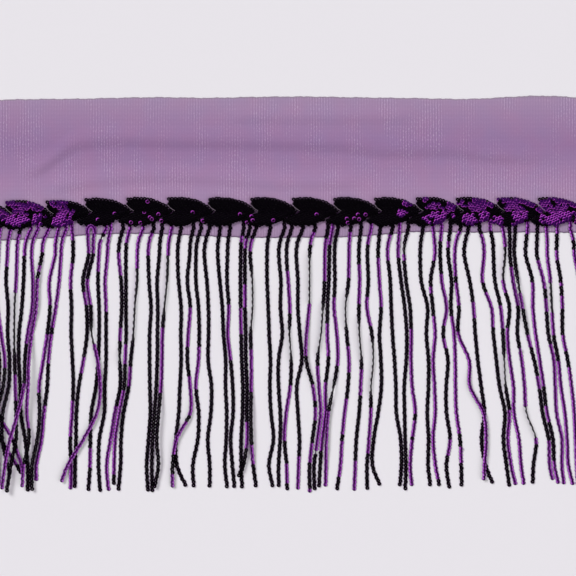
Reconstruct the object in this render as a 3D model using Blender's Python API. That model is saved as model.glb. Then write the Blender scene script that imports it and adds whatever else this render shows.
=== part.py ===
"""A cut length of sequin fringe trim, lying flat.

A heading of fine net carries a row of sequinned leaves. Below the leaves hang strands
of overlapping sequins, which lie gathered and crossed on the surface under them.
X runs along the trim, +Y points from the strand tips to the top edge, and +Z is up.
"""

import math

import bmesh
import bpy
from mathutils import Vector

MM = 0.001

# Sizes of the trim, in millimetres
HALF_LENGTH = 229.5
NET_THICKNESS = 1.0
NET_CELLS_ALONG = 38
NET_CELLS_ACROSS = 17
PIECE_GAP = 0.35

STRIP_TOP_MIDDLE = 49.2
STRIP_TOP_RISE = 3.0
STRIP_THICKNESS = 1.0

STRAND_WIDTH = 2.9
STRAND_TOP_WIDTH = 2.1
STRAND_HEIGHT = 1.2
STRAND_GAP = 0.4
STRAND_STEPS = 15
ROOT_HEIGHT = 0.5
ROOT_SINK = 1.2
ROOT_FALL_END = 32.0
ROOT_BEND_Y = 40.0
ROOT_BEND = 0.2
LIFT_SAMPLE = 2.5
LIFT_REACH = 4

LEAF_RIM_HEIGHT = 0.7
LEAF_CROWN_HEIGHT = 1.7
LEAF_SHOULDER = 3.2
LEAF_NOTCH = Vector((5.35, -10.2))
LEAF_LOW_NOTCH = Vector((-8.2, -16.9))

# Edges of the net: place along the trim, top edge, lower edge under the strands
EDGE_ROWS = (
    (-229.5, 147.8, 40.5),
    (-188.5, 148.5, 42.4),
    (-158.0, 148.7, 44.8),
    (-131.0, 149.4, 46.0),
    (-98.0, 149.9, 46.0),
    (-62.0, 149.4, 44.2),
    (-20.0, 150.2, 43.1),
    (13.0, 150.4, 43.3),
    (45.0, 149.9, 43.7),
    (70.0, 149.5, 45.2),
    (95.0, 149.2, 47.4),
    (138.0, 148.6, 47.1),
    (191.0, 151.0, 47.1),
    (229.5, 149.2, 47.1),
)

# Soft folds of the net: crest height, half width, and points (x, y) that the crest runs through
FOLDS = (
    (2.2, 10.0, ((-205.0, 94.0), (-188.5, 98.4), (-158.0, 117.4), (-82.0, 118.9), (40.0, 116.0),
                 (70.0, 112.0), (123.0, 112.0), (161.0, 107.5), (215.0, 107.5))),
    (1.5, 9.0, ((-182.0, 84.0), (-173.0, 84.7), (-120.0, 90.8), (-67.0, 90.8), (-14.0, 87.0),
                (43.0, 87.0), (60.0, 87.0))),
    (1.1, 8.0, ((-50.0, 136.0), (-36.0, 136.0), (85.0, 136.0), (100.0, 136.0))),
)

# Upper left tip of each leaf, from left to right; the last one only bounds the leaf before it
LEAF_TIPS = (
    (-245.6, 70.6), (-214.6, 70.6), (-183.6, 70.6), (-154.1, 72.3), (-122.7, 72.9), (-91.5, 72.9),
    (-60.5, 72.9), (-28.3, 72.9), (3.3, 72.9), (34.7, 72.9), (65.7, 72.9), (97.1, 72.9),
    (127.8, 72.9), (158.8, 72.9), (190.3, 72.9), (221.5, 72.9), (252.6, 72.9),
)

# Heights (y) at which a strand's place along the trim is given
STATIONS = (50.0, 30.0, 10.0, -10.0, -30.0, -50.0, -70.0, -90.0, -110.0, -130.0)

# Strands from left to right: laid first (-1), in turn (0) or last (1), x at each station, x and y of the tip
STRANDS = (
    (-1, -226.6, -227.2, -227.9, -227.4, -226.2, -225.4, -225.0, -224.4, -218.2, -206.0, -202.6, -136.5),
    (-1, -222.1, -223.4, -224.6, -224.1, -221.8, -219.4, -220.0, -220.2, -209.4, -202.2, -201.4, -134.0),
    (0, -218.6, -220.0, -221.2, -220.6, -218.0, -215.2, -216.4, -221.0, -220.6, -220.2, -219.8, -146.0),
    (0, -210.4, -213.2, -214.2, -212.7, -213.1, -211.6, -212.2, -216.6, -217.0, -213.0, -210.3, -138.5),
    (0, -203.3, -205.9, -206.6, -207.7, -207.9, -207.8, -207.2, -206.6, -206.4, -210.4, -213.6, -150.0),
    (0, -195.3, -200.3, -201.0, -202.3, -204.4, -204.6, -203.6, -203.1, -199.8, -197.8, -197.8, -150.0),
    (0, -189.9, -194.8, -193.9, -194.4, -197.9, -199.9, -200.4, -204.9, -210.8, -214.8, -217.4, -149.0),
    (0, -181.7, -187.0, -190.4, -191.2, -194.6, -196.6, -197.2, -198.2, -196.6, -200.6, -201.8, -147.5),
    (1, -174.5, -177.1, -181.4, -180.9, -183.0, -186.1, -189.1, -188.6, -190.4, -194.4, -194.4, -151.0),
    (0, -168.4, -172.5, -173.9, -176.5, -179.8, -182.0, -183.0, -185.4, -187.2, -191.2, -191.2, -142.0),
    (0, -164.3, -163.3, -165.3, -164.5, -164.8, -163.8, -163.2, -164.2, -165.5, -165.0, -165.3, -149.0),
    (0, -152.4, -151.6, -155.8, -153.2, -152.8, -155.4, -159.0, -160.8, -161.2, -161.8, -162.0, -149.0),
    (1, -146.9, -148.2, -152.4, -149.9, -149.0, -144.6, -142.5, -145.1, -155.4, -167.4, -172.6, -143.5),
    (0, -138.3, -143.7, -144.4, -143.6, -143.5, -144.2, -146.0, -149.5, -150.2, -150.5, -151.9, -151.0),
    (0, -134.5, -137.2, -138.9, -138.3, -138.3, -138.3, -139.2, -139.6, -143.4, -144.0, -142.7, -151.0),
    (0, -125.3, -128.7, -126.8, -126.4, -127.5, -127.8, -127.6, -131.6, -134.8, -137.7, -136.4, -149.0),
    (0, -120.2, -123.2, -123.2, -123.2, -123.0, -123.8, -124.4, -128.4, -131.4, -132.3, -132.4, -146.0),
    (0, -110.3, -114.6, -114.7, -116.4, -117.4, -119.5, -121.0, -125.0, -126.9, -127.3, -129.2, -151.0),
    (0, -102.1, -106.2, -105.6, -104.1, -105.2, -105.2, -105.0, -104.6, -106.0, -107.4, -106.4, -150.0),
    (0, -95.6, -97.8, -99.5, -99.0, -99.2, -99.4, -100.2, -101.4, -102.8, -103.6, -103.2, -151.0),
    (0, -88.5, -91.2, -91.9, -93.9, -95.5, -95.8, -96.6, -98.2, -99.6, -98.5, -101.4, -147.0),
    (0, -81.2, -83.9, -83.2, -81.2, -81.5, -81.2, -82.2, -83.0, -85.2, -84.4, -77.4, -146.0),
    (0, -71.8, -74.7, -76.5, -74.3, -75.8, -76.5, -74.3, -74.3, -84.6, -87.6, -87.7, -148.5),
    (0, -66.1, -69.9, -70.0, -68.0, -67.5, -68.0, -70.0, -67.9, -68.5, -72.3, -71.4, -148.5),
    (0, -59.7, -63.6, -61.7, -60.5, -60.4, -60.7, -58.2, -58.6, -61.0, -59.5, -59.5, -146.5),
    (0, -51.5, -53.5, -51.8, -49.9, -49.1, -47.4, -47.5, -46.6, -47.0, -48.0, -46.2, -147.0),
    (0, -44.0, -46.0, -46.4, -45.0, -45.7, -43.6, -42.1, -41.7, -43.6, -42.3, -40.6, -147.0),
    (0, -33.7, -36.0, -36.2, -36.0, -35.6, -35.2, -34.4, -34.6, -35.6, -35.6, -34.8, -148.5),
    (0, -29.0, -32.7, -32.8, -32.7, -32.2, -32.0, -31.2, -31.4, -31.2, -33.9, -38.0, -138.5),
    (0, -24.2, -28.8, -27.1, -26.9, -28.4, -27.9, -27.9, -28.2, -27.8, -26.4, -24.2, -146.5),
    (0, -13.5, -16.0, -15.9, -15.0, -14.4, -13.3, -13.8, -12.9, -11.1, -14.5, -11.2, -147.5),
    (0, -2.6, -7.0, -5.4, -5.8, -4.4, -7.2, -7.2, -5.9, -6.0, -7.2, -6.9, -147.5),
    (0, 2.9, -1.2, 0.2, 1.4, 1.2, 2.4, 1.7, -1.3, -2.7, -1.1, -0.7, -148.5),
    (0, 11.4, 6.3, 7.5, 7.5, 9.0, 10.4, 6.6, 7.5, 8.7, 8.1, 7.5, -148.0),
    (0, 20.6, 16.5, 16.4, 16.1, 14.1, 13.8, 18.9, 20.8, 18.6, 16.4, 16.6, -150.5),
    (0, 30.4, 28.1, 27.8, 26.6, 25.1, 22.5, 23.5, 24.8, 22.4, 19.8, 20.2, -148.5),
    (0, 33.8, 31.4, 31.0, 30.0, 29.8, 30.6, 28.4, 28.2, 25.8, 24.4, 23.6, -146.5),
    (0, 38.0, 35.3, 35.6, 35.0, 37.1, 37.8, 34.6, 30.6, 29.2, 28.8, 28.5, -148.0),
    (0, 47.6, 46.4, 45.9, 43.7, 44.6, 46.4, 45.5, 43.0, 41.1, 39.9, 37.1, -148.5),
    (0, 55.6, 53.8, 54.5, 53.8, 54.3, 55.8, 55.2, 54.0, 51.9, 51.1, 50.3, -149.0),
    (0, 63.4, 60.3, 61.0, 60.0, 63.7, 64.8, 63.1, 62.9, 61.6, 60.0, 60.2, -148.5),
    (0, 70.2, 68.5, 69.5, 70.8, 69.5, 70.6, 70.9, 68.5, 65.1, 64.2, 70.3, -146.0),
    (0, 79.6, 75.7, 77.7, 78.4, 79.4, 80.9, 82.0, 82.3, 85.6, 86.2, 84.7, -147.5),
    (0, 84.9, 83.7, 85.9, 88.6, 90.2, 89.8, 88.3, 88.6, 89.0, 89.5, 89.0, -149.0),
    (0, 91.4, 88.1, 89.7, 92.7, 93.6, 93.4, 94.3, 96.7, 94.4, 92.8, 94.3, -147.0),
    (0, 102.6, 100.4, 101.3, 106.0, 105.1, 106.8, 106.7, 105.8, 106.8, 106.5, 108.4, -147.5),
    (0, 110.1, 111.5, 108.4, 110.0, 111.7, 110.2, 111.3, 111.8, 110.2, 112.0, 115.4, -147.0),
    (0, 116.7, 115.6, 116.9, 120.5, 117.9, 121.5, 120.2, 120.4, 123.2, 120.4, 122.7, -148.0),
    (0, 123.4, 121.7, 124.2, 123.8, 126.1, 127.0, 127.2, 127.9, 130.7, 131.6, 131.9, -147.5),
    (1, 131.1, 126.6, 127.6, 129.9, 129.4, 137.5, 138.2, 148.3, 150.4, 149.1, 148.6, -142.5),
    (0, 137.2, 133.9, 138.1, 141.0, 142.3, 144.2, 146.8, 149.2, 147.0, 150.2, 156.3, -145.0),
    (0, 145.4, 149.0, 147.8, 154.6, 156.0, 158.3, 160.7, 164.8, 163.6, 166.0, 168.2, -146.0),
    (0, 153.6, 156.1, 157.2, 161.6, 163.3, 164.3, 165.4, 168.2, 167.2, 169.6, 173.2, -145.0),
    (0, 163.1, 165.0, 163.5, 168.2, 166.7, 168.4, 171.3, 171.6, 175.4, 177.1, 179.4, -145.5),
    (0, 168.2, 168.6, 171.0, 174.8, 174.3, 177.7, 179.8, 181.3, 188.4, 186.4, 185.9, -145.0),
    (0, 172.7, 172.0, 174.6, 178.1, 182.0, 187.0, 190.8, 193.4, 198.0, 198.9, 201.2, -141.0),
    (0, 182.0, 180.6, 185.7, 186.0, 188.1, 191.2, 194.2, 196.8, 201.3, 202.4, 205.8, -145.0),
    (0, 189.5, 189.1, 194.2, 196.3, 197.8, 202.0, 203.1, 204.1, 208.2, 208.2, 209.9, -145.5),
    (0, 196.3, 197.0, 199.3, 200.5, 201.7, 205.4, 207.3, 210.3, 212.0, 213.0, 216.6, -145.0),
    (0, 204.5, 204.1, 207.3, 208.4, 208.7, 212.6, 215.4, 217.4, 218.4, 219.2, 220.6, -147.0),
    (0, 214.4, 217.6, 221.4, 222.6, 222.4, 223.0, 222.4, 223.4, 223.8, 223.6, 224.4, -146.0),
    (0, 221.2, 221.4, 225.0, 226.2, 226.0, 226.8, 226.2, 227.2, 227.6, 227.4, 227.9, -147.0),
)


def clear_scene():
    for item in list(bpy.data.objects):
        bpy.data.objects.remove(item, do_unlink=True)


def principled(name, colour, roughness, metallic):
    material = bpy.data.materials.new(name)
    material.use_nodes = True
    shader = material.node_tree.nodes["Principled BSDF"]
    shader.inputs["Base Color"].default_value = (*colour, 1.0)
    shader.inputs["Roughness"].default_value = roughness
    shader.inputs["Metallic"].default_value = metallic
    material.diffuse_color = (*colour, 1.0)
    return material


def add_object(name, bm, material):
    """Give a bmesh, drawn in millimetres, to a new object in metres."""
    bmesh.ops.scale(bm, vec=(MM, MM, MM), verts=bm.verts)
    bmesh.ops.recalc_face_normals(bm, faces=bm.faces)
    mesh = bpy.data.meshes.new(name)
    bm.to_mesh(mesh)
    bm.free()
    mesh.materials.append(material)
    item = bpy.data.objects.new(name, mesh)
    bpy.context.scene.collection.objects.link(item)
    return item


def smooth_value(stations, values, at):
    """Read a smooth curve through values given at rising or falling stations."""
    sign = 1.0 if stations[-1] > stations[0] else -1.0
    last = len(stations) - 1
    place = min(max(sign * at, sign * stations[0]), sign * stations[last])
    span = 0
    while span < last - 1 and sign * stations[span + 1] < place:
        span += 1

    def slope(index):
        before = max(index - 1, 0)
        after = min(index + 1, last)
        return (values[after] - values[before]) / (sign * (stations[after] - stations[before]))

    width = sign * (stations[span + 1] - stations[span])
    t = (place - sign * stations[span]) / width
    ease = t * t * (3.0 - 2.0 * t)
    leave = t * (1.0 - t) ** 2 * width * slope(span)
    arrive = t * t * (t - 1.0) * width * slope(span + 1)
    return values[span] * (1.0 - ease) + values[span + 1] * ease + leave + arrive


def edge_value(column, x):
    places = [row[0] for row in EDGE_ROWS]
    return smooth_value(places, [row[column] for row in EDGE_ROWS], x)


def top_edge(x):
    return edge_value(1, x)


def hem_edge(x):
    return edge_value(2, x)


def strip_top(x):
    return STRIP_TOP_MIDDLE + STRIP_TOP_RISE * x / (2.0 * HALF_LENGTH)


def fold_height(x, y):
    """How far the folds raise the net above the surface at one place."""
    height = 0.0
    for crest, half_width, points in FOLDS:
        places = [point[0] for point in points]
        if not places[0] < x < places[-1]:
            continue
        run_in = (x - places[0]) / (places[1] - places[0])
        run_out = (places[-1] - x) / (places[-1] - places[-2])
        fade = min(run_in, run_out, 1.0)
        across = (y - smooth_value(places, [point[1] for point in points], x)) / half_width
        if abs(across) < 1.0:
            height = max(height, crest * fade * (1.0 - across * across) ** 2)
    return height


def build_net(material):
    """The heading: one thin sheet between the strip and the top edge, with its low folds."""
    bm = bmesh.new()
    bmesh.ops.create_grid(bm, x_segments=NET_CELLS_ALONG, y_segments=NET_CELLS_ACROSS, size=1.0)
    for vertex in bm.verts:
        x = vertex.co.x * HALF_LENGTH
        low = strip_top(x) + PIECE_GAP
        y = low + (vertex.co.y + 1.0) / 2.0 * (top_edge(x) - low)
        vertex.co = Vector((x, y, fold_height(x, y)))
    raised = bmesh.ops.extrude_face_region(bm, geom=bm.faces[:])
    upper = [part for part in raised["geom"] if isinstance(part, bmesh.types.BMVert)]
    bmesh.ops.translate(bm, verts=upper, vec=(0.0, 0.0, NET_THICKNESS))
    return add_object("net", bm, material)


def build_strip(material):
    """The narrow strip that the strands are sewn to, along the net's lower edge."""
    bm = bmesh.new()
    bmesh.ops.create_grid(bm, x_segments=NET_CELLS_ALONG, y_segments=1, size=1.0)
    for vertex in bm.verts:
        x = vertex.co.x * HALF_LENGTH
        y = strip_top(x) if vertex.co.y > 0.0 else hem_edge(x)
        vertex.co = Vector((x, y, 0.0))
    raised = bmesh.ops.extrude_face_region(bm, geom=bm.faces[:])
    upper = [part for part in raised["geom"] if isinstance(part, bmesh.types.BMVert)]
    bmesh.ops.translate(bm, verts=upper, vec=(0.0, 0.0, STRIP_THICKNESS))
    return add_object("fringe", bm, material)


def strand_x(strand, y):
    """A strand's place along the trim; most of its lean is taken up just below the root."""
    root, first = strand[1:3]
    bend = first + ROOT_BEND * (root - first)
    stations = (STATIONS[0], ROOT_BEND_Y, *STATIONS[1:], strand[-1])
    return smooth_value(stations, (root, bend, *strand[2:-1]), y)


def strand_slope(strand, y):
    step = 1.0
    return (strand_x(strand, y + step) - strand_x(strand, y - step)) / (2.0 * step)


def strand_top(strand):
    """The height (y) at which a strand starts, just inside the strip."""
    return strip_top(strand[1]) - ROOT_SINK


def plan_half_width(strand, y):
    """Half of a strand's width along X, which grows where the strand runs aslant."""
    return STRAND_WIDTH / 2.0 * math.hypot(1.0, strand_slope(strand, y))


def stack_strands():
    """Lay the strands one after another and find how high each one rides over the rest."""
    top = max(strand_top(strand) for strand in STRANDS)
    bottom = min(strand[-1] for strand in STRANDS)
    count = int((top - bottom) / LIFT_SAMPLE) + 2
    heights = [top - index * LIFT_SAMPLE for index in range(count)]
    order = sorted(range(len(STRANDS)), key=lambda index: (STRANDS[index][0], index))
    lifts = {}
    for this in order:
        strand = STRANDS[this]
        needed = []
        for level, y in enumerate(heights):
            lift = 0.0
            inside = strand[-1] - LIFT_SAMPLE < y < strand_top(strand)
            for other in lifts:
                if not inside or STRANDS[other][-1] - LIFT_SAMPLE > y:
                    continue
                apart = abs(strand_x(strand, y) - strand_x(STRANDS[other], y))
                reach = plan_half_width(strand, y) + plan_half_width(STRANDS[other], y)
                if apart < reach + PIECE_GAP / 2.0:
                    lift = max(lift, lifts[other][level] + STRAND_HEIGHT + STRAND_GAP)
            needed.append(lift)
        lifts[this] = soften(needed)
    return heights, lifts


def soften(values):
    """Widen each raised stretch, then ease its ends into slopes that stay above the need."""
    last = len(values) - 1
    wide = []
    for index in range(last + 1):
        near = values[max(index - 2 * LIFT_REACH, 0):min(index + 2 * LIFT_REACH, last) + 1]
        wide.append(max(near))
    eased = []
    for index in range(last + 1):
        near = wide[max(index - LIFT_REACH, 0):min(index + LIFT_REACH, last) + 1]
        eased.append(sum(near) / len(near))
    return eased


def root_lift(y):
    """The height of a strand's underside where it leaves the strip and comes down."""
    t = (y - ROOT_FALL_END) / (hem_edge(0.0) - ROOT_FALL_END)
    t = min(max(t, 0.0), 1.0)
    return ROOT_HEIGHT * t * t * (3.0 - 2.0 * t)


def add_strand(bm, strand, heights, lifts):
    """One strand: a flat bar with sloping sides, swept along its route."""
    top = strand_top(strand)
    tip = strand[-1]
    rings = []
    for step in range(STRAND_STEPS + 1):
        y = top + (tip - top) * step / STRAND_STEPS
        x = strand_x(strand, y)
        z = max(root_lift(y), smooth_value(heights, lifts, y))
        side = Vector((1.0, -strand_slope(strand, y), 0.0)).normalized()
        middle = Vector((x, y, z))
        corners = (
            middle - side * STRAND_WIDTH / 2.0,
            middle + side * STRAND_WIDTH / 2.0,
            middle + side * STRAND_TOP_WIDTH / 2.0 + Vector((0.0, 0.0, STRAND_HEIGHT)),
            middle - side * STRAND_TOP_WIDTH / 2.0 + Vector((0.0, 0.0, STRAND_HEIGHT)),
        )
        rings.append([bm.verts.new(corner) for corner in corners])
    sides = len(rings[0])
    for upper, lower in zip(rings, rings[1:]):
        for corner in range(sides):
            after = (corner + 1) % sides
            bm.faces.new((upper[corner], upper[after], lower[after], lower[corner]))
    bm.faces.new(rings[0])
    bm.faces.new(reversed(rings[-1]))


def build_fringe(material):
    """The strands, parted from each other and fused at their roots to the strip."""
    strip = build_strip(material)
    heights, lifts = stack_strands()
    bm = bmesh.new()
    for index, strand in enumerate(STRANDS):
        add_strand(bm, strand, heights, lifts[index])
    strands = add_object("strands", bm, material)
    strands.hide_render = True
    strands.display_type = "WIRE"
    union = strip.modifiers.new("sew the roots", "BOOLEAN")
    union.operation = "UNION"
    union.solver = "EXACT"
    union.object = strands
    return strip


def bezier(start, first, second, end, steps):
    points = []
    for step in range(steps):
        t = step / steps
        points.append(start * (1 - t) ** 3 + first * 3 * t * (1 - t) ** 2
                      + second * 3 * t * t * (1 - t) + end * t ** 3)
    return points


def leaf_outline(tip, next_tip):
    """The outline of one leaf, clockwise from its upper left tip."""
    right_notch = next_tip + LEAF_NOTCH
    low_right = next_tip + LEAF_LOW_NOTCH
    left_notch = tip + LEAF_NOTCH
    low_left = tip + LEAF_LOW_NOTCH
    upper = bezier(tip, tip + Vector((10.0, 1.2)), tip + Vector((24.0, 2.0)), right_notch, 7)
    lower = bezier(low_right, low_right + Vector((-6.6, -5.2)), low_left + Vector((9.5, -6.2)), low_left, 6)
    left_edge = [left_notch, tip + Vector((1.2, -5.6)), tip + Vector((-0.4, -3.0))]
    return upper + [right_notch] + lower + [low_left] + left_edge


def cut_ends(bm):
    """Cut a leaf square where it runs past the ends of the length, and close the cut."""
    for side in (-1.0, 1.0):
        cut = bmesh.ops.bisect_plane(bm, geom=bm.verts[:] + bm.edges[:] + bm.faces[:], dist=MM,
                                     plane_co=(side * HALF_LENGTH, 0.0, 0.0),
                                     plane_no=(side, 0.0, 0.0), clear_outer=True)
        seam = [part for part in cut["geom_cut"] if isinstance(part, bmesh.types.BMEdge)]
        if seam:
            bmesh.ops.holes_fill(bm, edges=seam)


def build_leaf(index, material):
    """One sequinned leaf: a low dome on the net, clear of its neighbours."""
    tip = Vector(LEAF_TIPS[index])
    next_tip = Vector(LEAF_TIPS[index + 1])
    base = NET_THICKNESS + PIECE_GAP
    bm = bmesh.new()
    floor = bm.faces.new([bm.verts.new((*point, base)) for point in leaf_outline(tip, next_tip)])
    rim = bmesh.ops.inset_region(bm, faces=[floor], thickness=PIECE_GAP / 2.0, use_even_offset=True)
    bmesh.ops.delete(bm, geom=rim["faces"], context="FACES")
    raised = bmesh.ops.extrude_face_region(bm, geom=bm.faces[:], use_keep_orig=True)
    upper = [part for part in raised["geom"] if isinstance(part, bmesh.types.BMVert)]
    bmesh.ops.translate(bm, verts=upper, vec=(0.0, 0.0, LEAF_RIM_HEIGHT))
    lid = [face for face in bm.faces if min(vertex.co.z for vertex in face.verts) > base + MM]
    bmesh.ops.inset_region(bm, faces=lid, thickness=LEAF_SHOULDER, use_even_offset=False)
    for vertex in lid[0].verts:
        vertex.co.z = base + LEAF_CROWN_HEIGHT
    cut_ends(bm)
    return add_object("leaf_%02d" % index, bm, material)


def main():
    clear_scene()
    net_cloth = principled("purple net", (0.36, 0.23, 0.40), 0.75, 0.0)
    sequins = principled("black and purple sequins", (0.02, 0.006, 0.03), 0.25, 0.2)
    build_net(net_cloth)
    build_fringe(sequins)
    for index in range(len(LEAF_TIPS) - 1):
        build_leaf(index, sequins)


main()
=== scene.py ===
import math
import random

import bpy
import numpy as np
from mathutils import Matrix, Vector
from mathutils.bvhtree import BVHTree


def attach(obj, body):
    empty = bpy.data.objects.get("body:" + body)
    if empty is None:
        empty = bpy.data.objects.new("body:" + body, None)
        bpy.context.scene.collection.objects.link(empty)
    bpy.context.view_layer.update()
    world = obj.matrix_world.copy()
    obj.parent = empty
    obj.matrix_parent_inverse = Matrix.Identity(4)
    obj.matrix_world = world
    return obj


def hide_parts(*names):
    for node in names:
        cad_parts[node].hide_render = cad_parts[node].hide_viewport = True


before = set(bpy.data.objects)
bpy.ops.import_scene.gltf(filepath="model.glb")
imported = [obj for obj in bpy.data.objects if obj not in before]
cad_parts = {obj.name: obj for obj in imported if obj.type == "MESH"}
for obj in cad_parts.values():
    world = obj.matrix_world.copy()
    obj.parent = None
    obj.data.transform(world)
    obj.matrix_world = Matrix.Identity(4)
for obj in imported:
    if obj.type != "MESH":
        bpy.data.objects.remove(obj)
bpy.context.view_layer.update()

# All sizes are in millimetres until a mesh is finished; a cloth map runs in steps of 10 mm
MM = 0.001
MAP_PACE = 100.0
HALF_LENGTH = 229.5

# The camera's view; in metres, the floor and two suns, each with its strength and spread in degrees
FRAME_MIDDLE_Y = 4.9
FRAME_WIDTH = 437.8
LENS, SENSOR = 200.0, 36.0
FLOOR_SIZE = 6.0
FLOOR_TINT = (0.735, 0.71, 0.75, 1.0)
SUNS = (((-0.9, 0.75, 1.1), 2.6, 30.0), ((1.0, -0.5, 1.2), 1.6, 60.0))
SKY_STRENGTH = 0.15

# Finishes of a sequinned piece, in the order of its materials
BLACK, PURPLE, THREAD, PALE_LINE, RINGED, TURNED = range(6)

# A sequin, and how it lies on a strand
SEQUIN_RADIUS = 1.65
SEQUIN_HOLE = 0.22
SEQUIN_CUP = 0.28
SEQUIN_THICK = 0.08
SEQUIN_SIDES = 12
SEQUIN_MERGE = 0.02
SEQUIN_PITCH = 2.49
SEQUIN_TILT = math.radians(7.0)
SEQUIN_ROCK = math.radians(4.0)
SEQUIN_SWAY = 0.17
PURPLE_CALM = 0.2
STRAND_SHAKE = 0.08
ROLL_SHAKE = math.radians(4.0)
TILT_SHAKE = math.radians(2.0)
STRAND_DRIFT = 0.05
# How much painted shade darkens the rim of each purple strand sequin
STRAND_RIM_SHARE = 0.2
STRAND_SEED = 8
TIP_SHARE = 0.7
SEQUIN_REST = 0.62
SEQUIN_STAND = 1.2
# Share of strands whose painted light runs the other way across their purple sequins
MIRRORED_SHARE = 0.3

# Masks on a sequin 1 wide, which place its painted glints, highlights and shade: how far from its middle
# each begins, and where it is full
HOLE_MASK = (0.14, 0.09)
EYE_MASK = (0.18, 0.12)
EDGE_MASK = (0.33, 0.38)

STITCH_WIDTH = 0.2
STITCH_LEVEL = 0.03
THREAD_SIDES = 4
THREAD_RADIUS = 0.16
THREAD_STEP = 5.0
THREAD_LEVEL = 0.1
THREAD_TWIST = {"Scale": 700.0, "Distortion": 1.5}

# The strip and the strands, as their solids have them
PIECE_GAP = 0.35
STRIP_TOP_MIDDLE = 49.2
STRIP_TOP_RISE = 3.0
STRAND_WIDTH = 2.9
STRAND_HEIGHT = 1.2
STRAND_GAP = 0.4
STRAND_HEAD = 6.6
ROOT_SINK = 1.2
ROOT_BEND_Y = 40.0
ROOT_BEND = 0.2
ROOT_FALL_END = 32.0
NET_LEVEL = 0.45
LIFT_SAMPLE = 2.5
LIFT_REACH = 4
STRANDS_IN_A_PIECE = 8

# A leaf from its own tip, its upper edge with two handles, and the rows of sequins on it
LEAF_NOTCH = Vector((5.35, -10.2))
LEAF_LOW_NOTCH = Vector((-8.2, -16.9))
ARC_FIRST = Vector((10.0, 1.2))
ARC_SECOND = Vector((24.0, 2.0))
ARC_LEAD = 2
ARC_STEPS = 40
LEAF_ROW_PITCH = 1.65
LEAF_SEQUIN_PITCH = 2.3
LEAF_SEQUIN_RADIUS = 1.5
LEAF_SEQUIN_REST = 0.3
LEAF_TILT = math.radians(14.0)
LEAF_TILT_SHAKE = math.radians(5.0)
LEAF_ROLL_SHAKE = math.radians(6.0)
LEAF_MARGIN = 0.8
LEAF_MERGE = 0.001
LEAF_SEED = 5
GROUND_SHARE = 0.93
STRAY_SHARE = 0.13
LEAF_SHAKE = 0.3
# How far the painted highlight round each leaf sequin's rim swings, and how far its tone strays
RIM_SWING = 0.85
RIM_DRIFT = 0.14
TURNED_REACH = 1.8
UPPER_ROWS = 8
LOWER_ROWS = 9
LOWER_STEPS = 40
LOWER_LEAD = 10.0
LOWER_ROW_LEAN = math.radians(20.0)
ROW_OVERLAP = 0.2

# A sequin is laid only where a probe straight down meets its leaf there and on all four sides
PROBE_HEIGHT = 20.0
PROBE_SHARE = 0.8
QUARTER_TURNS = (0.0, 1.57, 3.14, 4.71)

# The pale line that shows at the left of each leaf, measured from the leaf's tip
EDGE_START = Vector((0.4, -4.9))
EDGE_END = Vector((5.6, -9.4))
EDGE_BOW = -0.8
EDGE_LEVEL = 3.0
EDGE_RADIUS = 0.17
EDGE_STEPS = 6
END_MARGIN = 1.0

# Loops of purple strand that join two roots over the net: left x, right x, top y
ROOT_LOOPS = ((-152.4, -146.9, 51.8),)
LOOP_DROP = 5.0
LOOP_COUNT = 9
LOOP_RISE = 1.9

# The sheet of net, and how its cut edges stray
NET_CELLS_ALONG = 230
NET_CELLS_ACROSS = 54
NET_REST = 0.3
NET_THICKNESS = 0.3
RAGGED = 0.28
RAGGED_PACES = (0.71, 0.29, 1.37)
TOP_RAGGED_SHIFT = 40.0

# The knit and tone of the net, in steps of its cloth map; the bands run from the hem to the top, and the
# darker band near 0.66 lies along the main fold as painted shade
NET_RIBS = {"Scale": 1.52, "Distortion": 1.2, "Detail": 1.0, "Detail Scale": 0.25}
NET_CROSS = {"Scale": 3.2, "Distortion": 0.6}
PATCH_SCALE = (0.9, 0.28, 1.0)
HEM_Y = 4.0
TOP_Y = 15.1
NET_BANDS = (
    (0.0, (0.34, 0.23, 0.37)), (0.10, (0.34, 0.23, 0.37)), (0.25, (0.38, 0.25, 0.41)),
    (0.40, (0.37, 0.225, 0.40)), (0.66, (0.30, 0.175, 0.345)), (0.84, (0.34, 0.21, 0.375)),
    (0.97, (0.365, 0.245, 0.40)), (1.0, (0.32, 0.235, 0.35)),
)
HEM_TINT = (0.13, 0.07, 0.15)
SELVEDGE_TINT = (0.32, 0.26, 0.32)
EDGE_LINES = (("X", 0.9, HEM_TINT), ("Y", 1.1, SELVEDGE_TINT))
EDGE_LINE_SHARE = 0.65
# Pale highlights painted in patches along the ribs of the net
RIB_GLINT_TINT = (0.66, 0.52, 0.7)
RIB_GLINT_SCALE = (12.0, 6.0, 1.0)
RIB_GLINT_STRENGTH = 0.36
NET_COOL = (0.93, 1.02, 1.03)
NET_WARM = (1.07, 0.98, 0.97)

# Edges of the net: place along the trim, top edge, lower edge under the strands
EDGE_ROWS = (
    (-229.5, 147.8, 40.5), (-188.5, 148.5, 42.4), (-158.0, 148.7, 44.8), (-131.0, 149.4, 46.0),
    (-98.0, 149.9, 46.0), (-62.0, 149.4, 44.2), (-20.0, 150.2, 43.1), (13.0, 150.4, 43.3),
    (45.0, 149.9, 43.7), (70.0, 149.5, 45.2), (95.0, 149.2, 47.4), (138.0, 148.6, 47.1),
    (191.0, 151.0, 47.1), (229.5, 149.2, 47.1),
)

# Soft folds of the net: crest height, half width, and points (x, y) that the crest runs through
FOLDS = (
    (2.2, 10.0, ((-205.0, 94.0), (-188.5, 98.4), (-158.0, 117.4), (-82.0, 118.9), (40.0, 116.0),
                 (70.0, 112.0), (123.0, 112.0), (161.0, 107.5), (215.0, 107.5))),
    (1.5, 9.0, ((-182.0, 84.0), (-173.0, 84.7), (-120.0, 90.8), (-67.0, 90.8), (-14.0, 87.0),
                (43.0, 87.0), (60.0, 87.0))),
    (1.1, 8.0, ((-50.0, 136.0), (-36.0, 136.0), (85.0, 136.0), (100.0, 136.0))),
)

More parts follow.
